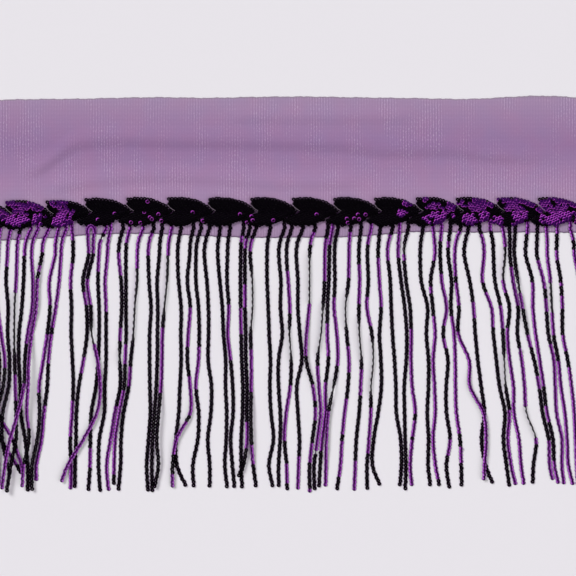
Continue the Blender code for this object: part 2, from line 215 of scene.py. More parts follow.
# Upper left tip of each leaf; the last one only bounds the leaf before it
LEAF_TIPS = (
    (-245.6, 70.6), (-214.6, 70.6), (-183.6, 70.6), (-154.1, 72.3), (-122.7, 72.9), (-91.5, 72.9),
    (-60.5, 72.9), (-28.3, 72.9), (3.3, 72.9), (34.7, 72.9), (65.7, 72.9), (97.1, 72.9),
    (127.8, 72.9), (158.8, 72.9), (190.3, 72.9), (221.5, 72.9), (252.6, 72.9),
)

# Heights (y) at which a strand's place along the trim is given
STATIONS = (50.0, 30.0, 10.0, -10.0, -30.0, -50.0, -70.0, -90.0, -110.0, -130.0)

# Strands from left to right: laid first (-1), in turn (0) or last (1), x at each station, and the
# x and y of the tip
STRANDS = (
    (-1, -226.6, -227.2, -227.9, -227.4, -226.2, -225.4, -225.0, -224.4, -218.2, -206.0, -202.6, -136.5),
    (-1, -222.1, -223.4, -224.6, -224.1, -221.8, -219.4, -220.0, -220.2, -209.4, -202.2, -201.4, -134.0),
    (0, -218.6, -220.0, -221.2, -220.6, -218.0, -215.2, -216.4, -221.0, -220.6, -220.2, -219.8, -146.0),
    (0, -210.4, -213.2, -214.2, -212.7, -213.1, -211.6, -212.2, -216.6, -217.0, -213.0, -210.3, -138.5),
    (0, -203.3, -205.9, -206.6, -207.7, -207.9, -207.8, -207.2, -206.6, -206.4, -210.4, -213.6, -150.0),
    (0, -195.3, -200.3, -201.0, -202.3, -204.4, -204.6, -203.6, -203.1, -199.8, -197.8, -197.8, -150.0),
    (0, -189.9, -194.8, -193.9, -194.4, -197.9, -199.9, -200.4, -204.9, -210.8, -214.8, -217.4, -149.0),
    (0, -181.7, -187.0, -190.4, -191.2, -194.6, -196.6, -197.2, -198.2, -196.6, -200.6, -201.8, -147.5),
    (1, -174.5, -177.1, -181.4, -180.9, -183.0, -186.1, -189.1, -188.6, -190.4, -194.4, -194.4, -151.0),
    (0, -168.4, -172.5, -173.9, -176.5, -179.8, -182.0, -183.0, -185.4, -187.2, -191.2, -191.2, -142.0),
    (0, -164.3, -163.3, -165.3, -164.5, -164.8, -163.8, -163.2, -164.2, -165.5, -165.0, -165.3, -149.0),
    (0, -152.4, -151.6, -155.8, -153.2, -152.8, -155.4, -159.0, -160.8, -161.2, -161.8, -162.0, -149.0),
    (1, -146.9, -148.2, -152.4, -149.9, -149.0, -144.6, -142.5, -145.1, -155.4, -167.4, -172.6, -143.5),
    (0, -138.3, -143.7, -144.4, -143.6, -143.5, -144.2, -146.0, -149.5, -150.2, -150.5, -151.9, -151.0),
    (0, -134.5, -137.2, -138.9, -138.3, -138.3, -138.3, -139.2, -139.6, -143.4, -144.0, -142.7, -151.0),
    (0, -125.3, -128.7, -126.8, -126.4, -127.5, -127.8, -127.6, -131.6, -134.8, -137.7, -136.4, -149.0),
    (0, -120.2, -123.2, -123.2, -123.2, -123.0, -123.8, -124.4, -128.4, -131.4, -132.3, -132.4, -146.0),
    (0, -110.3, -114.6, -114.7, -116.4, -117.4, -119.5, -121.0, -125.0, -126.9, -127.3, -129.2, -151.0),
    (0, -102.1, -106.2, -105.6, -104.1, -105.2, -105.2, -105.0, -104.6, -106.0, -107.4, -106.4, -150.0),
    (0, -95.6, -97.8, -99.5, -99.0, -99.2, -99.4, -100.2, -101.4, -102.8, -103.6, -103.2, -151.0),
    (0, -88.5, -91.2, -91.9, -93.9, -95.5, -95.8, -96.6, -98.2, -99.6, -98.5, -101.4, -147.0),
    (0, -81.2, -83.9, -83.2, -81.2, -81.5, -81.2, -82.2, -83.0, -85.2, -84.4, -77.4, -146.0),
    (0, -71.8, -74.7, -76.5, -74.3, -75.8, -76.5, -74.3, -74.3, -84.6, -87.6, -87.7, -148.5),
    (0, -66.1, -69.9, -70.0, -68.0, -67.5, -68.0, -70.0, -67.9, -68.5, -72.3, -71.4, -148.5),
    (0, -59.7, -63.6, -61.7, -60.5, -60.4, -60.7, -58.2, -58.6, -61.0, -59.5, -59.5, -146.5),
    (0, -51.5, -53.5, -51.8, -49.9, -49.1, -47.4, -47.5, -46.6, -47.0, -48.0, -46.2, -147.0),
    (0, -44.0, -46.0, -46.4, -45.0, -45.7, -43.6, -42.1, -41.7, -43.6, -42.3, -40.6, -147.0),
    (0, -33.7, -36.0, -36.2, -36.0, -35.6, -35.2, -34.4, -34.6, -35.6, -35.6, -34.8, -148.5),
    (0, -29.0, -32.7, -32.8, -32.7, -32.2, -32.0, -31.2, -31.4, -31.2, -33.9, -38.0, -138.5),
    (0, -24.2, -28.8, -27.1, -26.9, -28.4, -27.9, -27.9, -28.2, -27.8, -26.4, -24.2, -146.5),
    (0, -13.5, -16.0, -15.9, -15.0, -14.4, -13.3, -13.8, -12.9, -11.1, -14.5, -11.2, -147.5),
    (0, -2.6, -7.0, -5.4, -5.8, -4.4, -7.2, -7.2, -5.9, -6.0, -7.2, -6.9, -147.5),
    (0, 2.9, -1.2, 0.2, 1.4, 1.2, 2.4, 1.7, -1.3, -2.7, -1.1, -0.7, -148.5),
    (0, 11.4, 6.3, 7.5, 7.5, 9.0, 10.4, 6.6, 7.5, 8.7, 8.1, 7.5, -148.0),
    (0, 20.6, 16.5, 16.4, 16.1, 14.1, 13.8, 18.9, 20.8, 18.6, 16.4, 16.6, -150.5),
    (0, 30.4, 28.1, 27.8, 26.6, 25.1, 22.5, 23.5, 24.8, 22.4, 19.8, 20.2, -148.5),
    (0, 33.8, 31.4, 31.0, 30.0, 29.8, 30.6, 28.4, 28.2, 25.8, 24.4, 23.6, -146.5),
    (0, 38.0, 35.3, 35.6, 35.0, 37.1, 37.8, 34.6, 30.6, 29.2, 28.8, 28.5, -148.0),
    (0, 47.6, 46.4, 45.9, 43.7, 44.6, 46.4, 45.5, 43.0, 41.1, 39.9, 37.1, -148.5),
    (0, 55.6, 53.8, 54.5, 53.8, 54.3, 55.8, 55.2, 54.0, 51.9, 51.1, 50.3, -149.0),
    (0, 63.4, 60.3, 61.0, 60.0, 63.7, 64.8, 63.1, 62.9, 61.6, 60.0, 60.2, -148.5),
    (0, 70.2, 68.5, 69.5, 70.8, 69.5, 70.6, 70.9, 68.5, 65.1, 64.2, 70.3, -146.0),
    (0, 79.6, 75.7, 77.7, 78.4, 79.4, 80.9, 82.0, 82.3, 85.6, 86.2, 84.7, -147.5),
    (0, 84.9, 83.7, 85.9, 88.6, 90.2, 89.8, 88.3, 88.6, 89.0, 89.5, 89.0, -149.0),
    (0, 91.4, 88.1, 89.7, 92.7, 93.6, 93.4, 94.3, 96.7, 94.4, 92.8, 94.3, -147.0),
    (0, 102.6, 100.4, 101.3, 106.0, 105.1, 106.8, 106.7, 105.8, 106.8, 106.5, 108.4, -147.5),
    (0, 110.1, 111.5, 108.4, 110.0, 111.7, 110.2, 111.3, 111.8, 110.2, 112.0, 115.4, -147.0),
    (0, 116.7, 115.6, 116.9, 120.5, 117.9, 121.5, 120.2, 120.4, 123.2, 120.4, 122.7, -148.0),
    (0, 123.4, 121.7, 124.2, 123.8, 126.1, 127.0, 127.2, 127.9, 130.7, 131.6, 131.9, -147.5),
    (1, 131.1, 126.6, 127.6, 129.9, 129.4, 137.5, 138.2, 148.3, 150.4, 149.1, 148.6, -142.5),
    (0, 137.2, 133.9, 138.1, 141.0, 142.3, 144.2, 146.8, 149.2, 147.0, 150.2, 156.3, -145.0),
    (0, 145.4, 149.0, 147.8, 154.6, 156.0, 158.3, 160.7, 164.8, 163.6, 166.0, 168.2, -146.0),
    (0, 153.6, 156.1, 157.2, 161.6, 163.3, 164.3, 165.4, 168.2, 167.2, 169.6, 173.2, -145.0),
    (0, 163.1, 165.0, 163.5, 168.2, 166.7, 168.4, 171.3, 171.6, 175.4, 177.1, 179.4, -145.5),
    (0, 168.2, 168.6, 171.0, 174.8, 174.3, 177.7, 179.8, 181.3, 188.4, 186.4, 185.9, -145.0),
    (0, 172.7, 172.0, 174.6, 178.1, 182.0, 187.0, 190.8, 193.4, 198.0, 198.9, 201.2, -141.0),
    (0, 182.0, 180.6, 185.7, 186.0, 188.1, 191.2, 194.2, 196.8, 201.3, 202.4, 205.8, -145.0),
    (0, 189.5, 189.1, 194.2, 196.3, 197.8, 202.0, 203.1, 204.1, 208.2, 208.2, 209.9, -145.5),
    (0, 196.3, 197.0, 199.3, 200.5, 201.7, 205.4, 207.3, 210.3, 212.0, 213.0, 216.6, -145.0),
    (0, 204.5, 204.1, 207.3, 208.4, 208.7, 212.6, 215.4, 217.4, 218.4, 219.2, 220.6, -147.0),
    (0, 214.4, 217.6, 221.4, 222.6, 222.4, 223.0, 222.4, 223.4, 223.8, 223.6, 224.4, -146.0),
    (0, 221.2, 221.4, 225.0, 226.2, 226.0, 226.8, 226.2, 227.2, 227.6, 227.4, 227.9, -147.0),
)

# How each strand is turned from its root down: B black face up, P purple face up, N nearly on edge,
# E on edge; the number is the height (y) at which that turn ends, and the last runs to the tip
TURN_ANGLES = {"B": 0.0, "N": 48.0, "E": 64.0, "P": 180.0}
TURN_LENGTH = 11.0
FLIP_LENGTH = 0.05
PAST_ALL_TIPS = -200.0
TURNS = (
    "B-119 P-130 B", "B-96 P-111 B-117 P", "P-57 B-100 P", "P22 B", "B46 P1 E-45 B-62 P-82 B",
    "P30 B", "P-37 B-68 P", "P31 B23 P17 B13 P-102 B-128 P", "P-8 B-31 P-74 B",
    "P-26 B-31 P-53 B-85 P", "P40 B24 P3 B-80 P-108 B-125 P", "P32 B1 P-9 B-47 P-60 B",
    "P32 B12 P-9 B-24 E-38 P", "P46 B43 P18 B-118 P-132 B", "P-13 B",
    "B32 P15 B-25 P-35 B-43 E-52 B-84 P", "P38 B-37 P-53 B-72 P-138 B", "P19 N0 E-35 B-56 P-71 B",
    "B47 P30 B", "B", "P30 N10 E-15 B-25 P-76 B", "B", "B-9 P-40 B-62 P-91 B-97 P-122 B-137 P",
    "B-39 P-71 B", "B", "B", "B-7 P-51 B", "B44 P40 B-9 P-30 B", "B42 P35 B7 P-10 B-98 P-116 B",
    "B42 P33 B18 E-28 B-43 P-74 B-113 P-128 B", "B", "B",
    "B18 P-15 B-24 E-50 B-69 P-111 B-128 P-143 B", "B-122 P",
    "B48 P39 B30 E-8 P-47 B-69 P-82 B-86 P-96 B-112 P-127 B-147 P", "B42 P11 B-8 E-45 B-54 P-120 B",
    "P38 B-22 P-47 B-66 P-118 B", "B-2 P-55 B-68 E-78 B-88 P",
    "B48 P12 B0 E-25 B-40 P-60 B-79 P-107 B-112 P-138 B", "B23 P-7 B-20 E-50 B-58 P-78 B-126 P",
    "P38 B-2 P-25 B-35 E-77 B-87 P-122 B", "B28 P-10 B", "B45 P25 B", "P28 B",
    "B39 N31 P26 B-26 P-92 B-97 P-107 B-110 P", "B", "P26 B7 P2 B-17 P-141 B",
    "P41 B15 P-23 B-33 P-42 B-109 P-122 B", "B40 P36 B-17 P-107 B-117 P-128 B",
    "B47 P13 B10 P-9 B-29 P", "B-6 P-19 B", "B46 P8 B1 P-24 B", "P47 B-9 P-27 B-45 E-70 B-88 P",
    "P37 N12 P2 B-25 P", "B21 P-8 B-42 P-86 E-109 P-114 B",
    "B12 N0 P-12 B-30 P-41 B-62 P-71 B-111 P", "P46 B8 P-71 B-84 P-98 B-127 P",
    "B25 P4 B-4 P-13 B-38 P", "P8 N-14 P-31 B-50 P", "P47 B34 P26 B8 P6 B-1 P-11 B-30 P-42 B-56 P",
    "P41 B33 P", "B",
)

# Patches of leaf sequins turned to purple, and small ones inside them left black: middle x and y,
# half width, half height
PURPLE_PATCHES = (
    (-222.0, 59.0, 9.0, 6.0), (-204.0, 67.5, 9.5, 3.4), (-208.5, 70.8, 6.0, 2.0),
    (-192.0, 68.4, 6.0, 2.6), (-188.5, 58.5, 5.0, 2.4), (-190.5, 65.0, 4.6, 3.0),
    (-206.0, 58.0, 10.0, 6.4), (-190.5, 55.0, 4.6, 2.4), (-173.0, 68.0, 8.0, 4.2),
    (-172.5, 71.0, 9.5, 2.2), (-168.6, 62.0, 6.6, 4.6), (-171.0, 54.6, 8.6, 4.2),
    (86.6, 62.0, 3.4, 3.8), (104.6, 71.8, 3.0, 1.4), (110.8, 67.2, 6.2, 2.4),
    (124.6, 67.4, 5.6, 2.6), (92.2, 69.4, 4.6, 2.2), (121.4, 65.0, 4.4, 2.4),
    (111.6, 58.0, 8.8, 4.4), (126.4, 59.4, 1.8, 2.0), (134.2, 69.2, 3.0, 2.8),
    (143.8, 67.6, 6.6, 4.4), (145.6, 71.8, 5.4, 1.6), (153.6, 68.4, 6.6, 3.0),
    (138.0, 56.6, 5.6, 4.4), (149.2, 58.8, 3.4, 5.2), (160.0, 55.4, 3.2, 3.0),
    (172.6, 71.4, 14.4, 2.8), (185.6, 68.8, 4.2, 2.2), (170.6, 66.6, 7.4, 3.0),
    (176.2, 60.2, 5.6, 5.4), (156.6, 55.6, 3.4, 3.0), (175.2, 52.6, 5.0, 2.8),
    (200.0, 66.6, 11.0, 6.6), (206.0, 70.4, 13.0, 2.8), (205.6, 57.8, 15.0, 6.0),
    (222.0, 64.0, 12.0, 10.0),
)
BLACK_PATCHES = (
    (-211.5, 64.0, 2.4, 3.4), (-198.5, 70.5, 3.2, 1.4), (-195.4, 61.5, 1.6, 5.0),
    (-199.6, 52.6, 3.6, 1.6), (-180.4, 64.6, 3.0, 4.0), (-165.2, 67.8, 2.2, 3.2),
    (-170.8, 67.4, 1.0, 1.4), (109.6, 55.8, 1.8, 2.2), (104.4, 60.2, 1.4, 1.2),
    (116.0, 60.4, 1.4, 1.0), (150.4, 65.6, 1.8, 1.4), (161.6, 68.6, 2.8, 2.6),
    (201.0, 70.4, 3.0, 1.7), (207.6, 68.6, 1.6, 1.2), (216.6, 64.4, 6.0, 2.4),
    (196.2, 61.6, 1.6, 1.4), (195.6, 53.6, 1.6, 1.4),
)

# Single sequins turned over on the black leaves: x and y
TURNED_SEQUINS = (
    (-144.6, 56.6), (-131.5, 61.9), (-109.4, 63.5), (-98.3, 60.9), (-104.1, 58.1), (-102.4, 57.8),
    (-118.6, 54.6), (-111.0, 54.3), (-95.3, 56.1), (-106.9, 70.7), (-73.7, 62.7), (-64.6, 55.9),
    (-35.2, 61.0), (-28.1, 58.9), (-27.1, 56.6), (-30.0, 54.6), (-10.6, 56.6), (21.3, 60.9),
    (54.0, 60.4), (58.5, 60.4), (44.8, 54.3), (44.1, 57.0), (51.5, 57.5), (53.8, 56.2),
)


def ease(t):
    """Turn an even rise from 0 to 1 into one that starts and ends softly."""
    t = min(max(t, 0.0), 1.0)
    return t * t * (3.0 - 2.0 * t)


def smooth_value(stations, values, at):
    """Read a smooth curve through values given at rising or falling stations."""
    sign = 1.0 if stations[-1] > stations[0] else -1.0
    last = len(stations) - 1
    place = min(max(sign * at, sign * stations[0]), sign * stations[last])
    span = 0
    while span < last - 1 and sign * stations[span + 1] < place:
        span += 1

    def slope(index):
        before = max(index - 1, 0)
        after = min(index + 1, last)
        return (values[after] - values[before]) / (sign * (stations[after] - stations[before]))

    width = sign * (stations[span + 1] - stations[span])
    t = (place - sign * stations[span]) / width
    leave = t * (1.0 - t) ** 2 * width * slope(span)
    arrive = t * t * (t - 1.0) * width * slope(span + 1)
    return values[span] * (1.0 - ease(t)) + values[span + 1] * ease(t) + leave + arrive


def edge_value(column, x):
    places = [row[0] for row in EDGE_ROWS]
    return smooth_value(places, [row[column] for row in EDGE_ROWS], x)


def top_edge(x):
    return edge_value(1, x)


def hem_edge(x):
    return edge_value(2, x)


def strip_top(x):
    return STRIP_TOP_MIDDLE + STRIP_TOP_RISE * x / (2.0 * HALF_LENGTH)


def fold_height(x, y):
    """How far the folds raise the net above the surface at one place."""
    height = 0.0
    for crest, half_width, points in FOLDS:
        places = [point[0] for point in points]
        if not places[0] < x < places[-1]:
            continue
        run_in = (x - places[0]) / (places[1] - places[0])
        run_out = (places[-1] - x) / (places[-1] - places[-2])
        fade = min(run_in, run_out, 1.0)
        across = (y - smooth_value(places, [point[1] for point in points], x)) / half_width
        if abs(across) < 1.0:
            height = max(height, crest * fade * (1.0 - across * across) ** 2)
    return height


def strand_x(strand, y):
    """A strand's place along the trim; most of its lean is taken up just below the root."""
    root, first = strand[1:3]
    bend = first + ROOT_BEND * (root - first)
    stations = (STATIONS[0], ROOT_BEND_Y, *STATIONS[1:], strand[-1])
    return smooth_value(stations, (root, bend, *strand[2:-1]), y)


def strand_slope(strand, y):
    step = 1.0
    return (strand_x(strand, y + step) - strand_x(strand, y - step)) / (2.0 * step)


def strand_top(strand):
    """The height (y) at which a strand starts, just inside the strip."""
    return strip_top(strand[1]) - ROOT_SINK


def plan_half_width(strand, y):
    """Half of a strand's width along X, which grows where the strand runs aslant."""
    return STRAND_WIDTH / 2.0 * math.hypot(1.0, strand_slope(strand, y))


def stack_strands():
    """Lay the strands one after another and find how high each one rides over the rest."""
    top = max(strand_top(strand) for strand in STRANDS)
    bottom = min(strand[-1] for strand in STRANDS)
    count = int((top - bottom) / LIFT_SAMPLE) + 2
    heights = [top - index * LIFT_SAMPLE for index in range(count)]
    order = sorted(range(len(STRANDS)), key=lambda index: (STRANDS[index][0], index))
    lifts = {}
    for this in order:
        strand = STRANDS[this]
        needed = []
        for level, y in enumerate(heights):
            lift = 0.0
            inside = strand[-1] - LIFT_SAMPLE < y < strand_top(strand)
            for other in lifts:
                if not inside or STRANDS[other][-1] - LIFT_SAMPLE > y:
                    continue
                apart = abs(strand_x(strand, y) - strand_x(STRANDS[other], y))
                reach = plan_half_width(strand, y) + plan_half_width(STRANDS[other], y)
                if apart < reach + PIECE_GAP / 2.0:
                    lift = max(lift, lifts[other][level] + STRAND_HEIGHT + STRAND_GAP)
            needed.append(lift)
        lifts[this] = soften(needed)
    return heights, lifts


def soften(values):
    """Widen each raised stretch, then ease its ends into slopes that stay above the need."""
    def near(levels, index, reach):
        return levels[max(index - reach, 0):index + reach + 1]

    wide = [max(near(values, index, 2 * LIFT_REACH)) for index in range(len(values))]
    around = [near(wide, index, LIFT_REACH) for index in range(len(values))]
    return [sum(levels) / len(levels) for levels in around]


def deselect():
    for item in bpy.context.selected_objects:
        item.select_set(False)


def edit_all(piece):
    """Open one piece for editing, with all of it selected."""
    deselect()
    piece.select_set(True)
    bpy.context.view_layer.objects.active = piece
    bpy.ops.object.mode_set(mode="EDIT")
    bpy.ops.mesh.select_all(action="SELECT")


def root_lift(y):
    """The height of the net under a strand, falling to the floor below the net's edge."""
    return NET_LEVEL * ease((y - ROOT_FALL_END) / (hem_edge(0.0) - ROOT_FALL_END))


def read_turns(words):
    """The turns of one strand as (height where the turn ends, angle)."""
    return [(float(word[1:] or PAST_ALL_TIPS), math.radians(TURN_ANGLES[word[0]]))
            for word in words.split()]


def turn_angle(turns, y):
    """How far a strand is turned about its own length at one height."""
    angle = turns[0][1]
    for (end, before), (_, after) in zip(turns, turns[1:]):
        length = FLIP_LENGTH if abs(after - before) > math.pi / 2.0 else TURN_LENGTH
        angle += (after - before) * ease((end - y) / length + 0.5)
    return angle


def model_sequin(radius):
    """One cupped sequin with its sewing hole: black face up, purple face down."""
    deselect()
    radius, hole = radius * MM, SEQUIN_HOLE * MM
    cup, thick = SEQUIN_CUP * MM, SEQUIN_THICK * MM
    bpy.ops.mesh.primitive_circle_add(vertices=SEQUIN_SIDES, radius=radius, fill_type="NOTHING")
    sequin = bpy.context.object
    edit_all(sequin)
    inwards = (hole / radius, hole / radius, 1.0)
    outwards = (radius / hole, radius / hole, 1.0)
    bpy.ops.mesh.extrude_region_move(TRANSFORM_OT_translate={"value": (0.0, 0.0, -cup)})
    bpy.ops.transform.resize(value=inwards, center_override=(0.0, 0.0, -cup))
    bpy.ops.mesh.extrude_region_move(TRANSFORM_OT_translate={"value": (0.0, 0.0, -thick)})
    bpy.ops.mesh.extrude_region_move(TRANSFORM_OT_translate={"value": (0.0, 0.0, cup + thick)})
    bpy.ops.transform.resize(value=outwards, center_override=(0.0, 0.0, 0.0))
    bpy.ops.mesh.select_all(action="SELECT")
    bpy.ops.mesh.remove_doubles(threshold=SEQUIN_MERGE * MM)
    bpy.ops.mesh.normals_make_consistent(inside=False)
    bpy.ops.object.mode_set(mode="OBJECT")
    for face in sequin.data.polygons:
        face.material_index = PURPLE if face.normal.z < -0.5 else BLACK
    return sequin


def model_stitch():
    """The short stitch from a sequin's hole back over its edge."""
    deselect()
    length = SEQUIN_RADIUS * MM
    bpy.ops.mesh.primitive_cylinder_add(vertices=THREAD_SIDES, radius=STITCH_WIDTH * MM / 2.0,
                                        depth=length, end_fill_type="NGON")
    stitch = bpy.context.object
    edit_all(stitch)
    bpy.ops.transform.rotate(value=math.radians(90.0), orient_axis="X",
                             center_override=(0.0, 0.0, 0.0))
    bpy.ops.transform.translate(value=(0.0, length / 2.0, STITCH_LEVEL * MM))
    bpy.ops.object.mode_set(mode="OBJECT")
    for face in stitch.data.polygons:
        face.material_index = THREAD
    return stitch


def corners_and_faces(piece):
    points = np.array([vertex.co for vertex in piece.data.vertices]) / MM
    return points, [list(face.vertices) for face in piece.data.polygons]


def as_arrays(model):
    """A small model as corner points, faces and the finish of each face."""
    points, faces = corners_and_faces(model)
    finishes = [face.material_index for face in model.data.polygons]
    bpy.data.objects.remove(model, do_unlink=True)
    return points, faces, finishes


def refinished(model, old, new):
    """The same small model with one of its finishes changed."""
    points, faces, finishes = model
    return points, faces, [new if finish == old else finish for finish in finishes]


class Trimmings:
    """Collects the many small copies that are joined into one piece."""

    def __init__(self):
        self.points, self.loops, self.sizes = [], [], []
        self.finishes, self.tones, self.discs = [], [], []
        self.count = 0

    def add(self, model, centres, across, along, up, tone):
        """Copy a model to each place; tone says where each corner lies between the painted shade and the
        painted highlight of its face.
        """
        local, faces, finishes = model
        copies = len(centres)
        placed = centres[:, None, :]
        for axis, way in enumerate((across, along, up)):
            placed = placed + local[None, :, axis, None] * way[:, None, :]
        corner = np.concatenate(faces)
        starts = self.count + np.arange(copies)[:, None] * len(local)
        self.points.append(placed.reshape(-1, 3))
        self.loops.append((starts + corner[None, :]).reshape(-1))
        self.sizes.append(np.tile([len(face) for face in faces], copies))
        self.finishes.append(np.tile(finishes, copies))
        self.tones.append(tone(placed, centres)[:, corner].reshape(-1))
        disc = local[:, :2] / (2.0 * max(np.abs(local[:, :2]).max(), STITCH_WIDTH)) + 0.5
        self.discs.append(np.tile(disc[corner], (copies, 1)))
        self.count += copies * len(local)

    def add_plain(self, points, faces, finish):
        """Add faces where they are, all of one finish and of a middle tone."""
        axes = np.eye(3)[:, None, :]
        self.add((points, faces, [finish] * len(faces)), np.zeros((1, 3)), *axes,
                 lambda placed, centres: np.full(placed.shape[:2], 0.5))

    def finish(self, name, materials):
        points = np.concatenate(self.points) * MM
        loops, sizes = np.concatenate(self.loops), np.concatenate(self.sizes)
        mesh = bpy.data.meshes.new(name)
        mesh.vertices.add(len(points))
        mesh.vertices.foreach_set("co", points.reshape(-1))
        mesh.loops.add(len(loops))
        mesh.loops.foreach_set("vertex_index", loops)
        mesh.polygons.add(len(sizes))
        mesh.polygons.foreach_set("loop_start", np.concatenate([[0], np.cumsum(sizes)[:-1]]))
        mesh.polygons.foreach_set("material_index", np.concatenate(self.finishes))
        # The Lay map holds each corner's tone, which places the painted light and shade on the purple
        # faces
        lay = np.stack([np.concatenate(self.tones), points[loops][:, 1] * MAP_PACE], axis=1)
        for layer, places in (("Lay", lay), ("Disc", np.concatenate(self.discs))):
            mesh.uv_layers.new(name=layer).data.foreach_set("uv", places.reshape(-1))
        for material in materials:
            mesh.materials.append(material)
        mesh.update(calc_edges=True)
        mesh.validate()
        piece = bpy.data.objects.new(name, mesh)
        bpy.context.scene.collection.objects.link(piece)
        return piece


def unit(vectors):
    return vectors / np.linalg.norm(vectors, axis=1)[:, None]


def turned(across, along, up, angle, about):
    """Turn three axes about one of them, given by name."""
    c, s = np.cos(angle)[:, None], np.sin(angle)[:, None]
    if about == "along":
        return across * c - up * s, along, up * c + across * s
    return across, along * c + up * s, up * c - along * s


def shakes(rng, count, kinds):
    """Small random strays from -1 to 1: a row for each sequin, a column for each kind of stray."""
    return np.array([[rng.uniform(-1.0, 1.0) for _ in range(kinds)] for _ in range(count)])


def tone_towards(ways, radius, drift):
    """Tones that rise across each sequin in its own direction, from 0 to 1, which place the painted
    light on its purple face.
    """
    def tone(placed, centres):
        share = np.einsum("nij,nj->ni", placed - centres[:, None, :], ways) / radius
        return 0.5 + 0.5 * share + drift[:, None]
    return tone


def strand_places(strand, turns, heights, lifts, rng):
    """Where each sequin of a strand sits, from its root under the leaf to its tip."""
    rows = []
    y = strip_top(strand[1]) + STRAND_HEAD
    while y > strand[-1] + SEQUIN_RADIUS * TIP_SHARE:
        slope = strand_slope(strand, y)
        lift = max(root_lift(y), smooth_value(heights, lifts, y))
        rows.append((strand_x(strand, y), y, lift, slope, turn_angle(turns, y)))
        y -= SEQUIN_PITCH / math.hypot(1.0, slope)
    x, y, lift, slope, angle = np.array(rows).T
    count = len(rows)
    zigzag = np.where(np.arange(count) % 2 == 0, 1.0, -1.0)
    along = unit(np.stack([-slope, -np.ones(count), np.zeros(count)], axis=1))
    side = np.stack([-along[:, 1], along[:, 0], np.zeros(count)], axis=1)
    up = np.tile([0.0, 0.0, 1.0], (count, 1))
    shake = shakes(rng, count, 3)
    height = lift + SEQUIN_REST + SEQUIN_STAND * np.abs(np.sin(angle))
    centres = np.stack([x, y, height], axis=1)
    sway = SEQUIN_SWAY * (1.0 - PURPLE_CALM + PURPLE_CALM * np.cos(angle))
    centres += side * (zigzag * sway + shake[:, 0] * STRAND_SHAKE)[:, None]
    roll = angle + zigzag * SEQUIN_ROCK + shake[:, 1] * ROLL_SHAKE
    axes = turned(side, along, up, roll, "along")
    axes = turned(*axes, SEQUIN_TILT + shake[:, 2] * TILT_SHAKE, "across")
    return centres, *axes, side


def thread_tube(trim, points, radius, finish):
    """A thin tube along a row of points: the thread behind the sequins, or the pale line at the left of
    a leaf.
    """
    points = np.array(points)
    ways = unit(np.gradient(points, axis=0))
    side = unit(np.cross(ways, [0.0, 0.0, 1.0]))
    back = np.cross(side, ways)
    ring = []
    for corner in range(THREAD_SIDES):
        angle = 2.0 * math.pi * corner / THREAD_SIDES
        ring.append(points + radius * (math.cos(angle) * side + math.sin(angle) * back))
    local = np.stack(ring, axis=1).reshape(-1, 3)
    last = (len(points) - 1) * THREAD_SIDES
    faces = []
    for start in range(0, last, THREAD_SIDES):
        for corner in range(THREAD_SIDES):
            here, after = start + corner, start + (corner + 1) % THREAD_SIDES
            faces.append([here, after, after + THREAD_SIDES, here + THREAD_SIDES])
    faces.append(list(range(THREAD_SIDES))[::-1])
    faces.append([last + corner for corner in range(THREAD_SIDES)])
    trim.add_plain(local, faces, finish)


def root_loop(left, right, top):
    """Where the sequins of a loop sit that joins two roots over the edge of a leaf."""
    half = (right - left) / 2.0
    foot = top - LOOP_DROP
    angles = np.linspace(math.pi, 0.0, LOOP_COUNT)
    x = (left + right) / 2.0 + half * np.cos(angles)
    y = foot + (top - foot) * np.sin(angles)
    z = NET_LEVEL + SEQUIN_REST + LOOP_RISE * np.sin(angles)
    centres = np.stack([x, y, z], axis=1)
    along = unit(np.gradient(centres, axis=0))
    across = unit(np.cross([0.0, 0.0, 1.0], along))
    return centres, across, along, np.cross(across, along)


def lay_strands(sequin, stitch, materials):
    """Sew the sequins to every strand and join the strands into a few pieces."""
    heights, lifts = stack_strands()
    rng = random.Random(STRAND_SEED)
    step = max(int(THREAD_STEP / SEQUIN_PITCH), 1)
    pieces = []
    for first in range(0, len(STRANDS), STRANDS_IN_A_PIECE):
        trim = Trimmings()
        members = range(first, min(first + STRANDS_IN_A_PIECE, len(STRANDS)))
        for index in members:
            turns = read_turns(TURNS[index])
            places = strand_places(STRANDS[index], turns, heights, lifts[index], rng)
            centres, across, along, up, side = places
            # lean sets which way the painted light runs across this strand's purple sequins
            lean = -1.0 if rng.random() < MIRRORED_SHARE else 1.0
            drift = np.array([rng.uniform(-STRAND_DRIFT, STRAND_DRIFT) for _ in centres])
            tone = tone_towards(lean * side, SEQUIN_RADIUS, drift)
            trim.add(sequin, centres, across, along, up, tone)
            trim.add(stitch, centres, across, -along, up, tone)
            chain = centres[::step] + up[::step] * THREAD_LEVEL
            thread_tube(trim, chain, THREAD_RADIUS, THREAD)
        for left, right, top in ROOT_LOOPS:
            if STRANDS[members[0]][1] <= left <= STRANDS[members[-1]][1]:
                centres, across, along, up = root_loop(left, right, top)
                tone = tone_towards(-across, SEQUIN_RADIUS, np.zeros(len(centres)))
                trim.add(sequin, centres, across, along, up, tone)
        pieces.append(trim.finish("strand_sequins_%d" % (first // STRANDS_IN_A_PIECE), materials))
    return pieces


def upper_arc(tip, next_tip):
    """A leaf's upper edge as a curve with two handles, from a little before the tip to the notch."""
    end = next_tip + LEAF_NOTCH
    first, second = tip + ARC_FIRST, tip + ARC_SECOND
    arc = []
    for step in range(-ARC_LEAD, ARC_STEPS + 1):
        t = step / ARC_STEPS
        arc.append(tip * (1 - t) ** 3 + first * 3 * t * (1 - t) ** 2
                   + second * 3 * t * t * (1 - t) + end * t ** 3)
    return arc


def walk(points, start, pitch):
    """Places at even steps along a line of points, each with the direction there."""
    places = []
    distance = -start
    for here, after in zip(points, points[1:]):
        length = (after - here).length
        while distance + length >= 0.0 and length > 0.0:
            place = here + (after - here) * (-distance / length)
            places.append((place, (after - here).normalized()))
            distance -= pitch
        distance += length
    return places


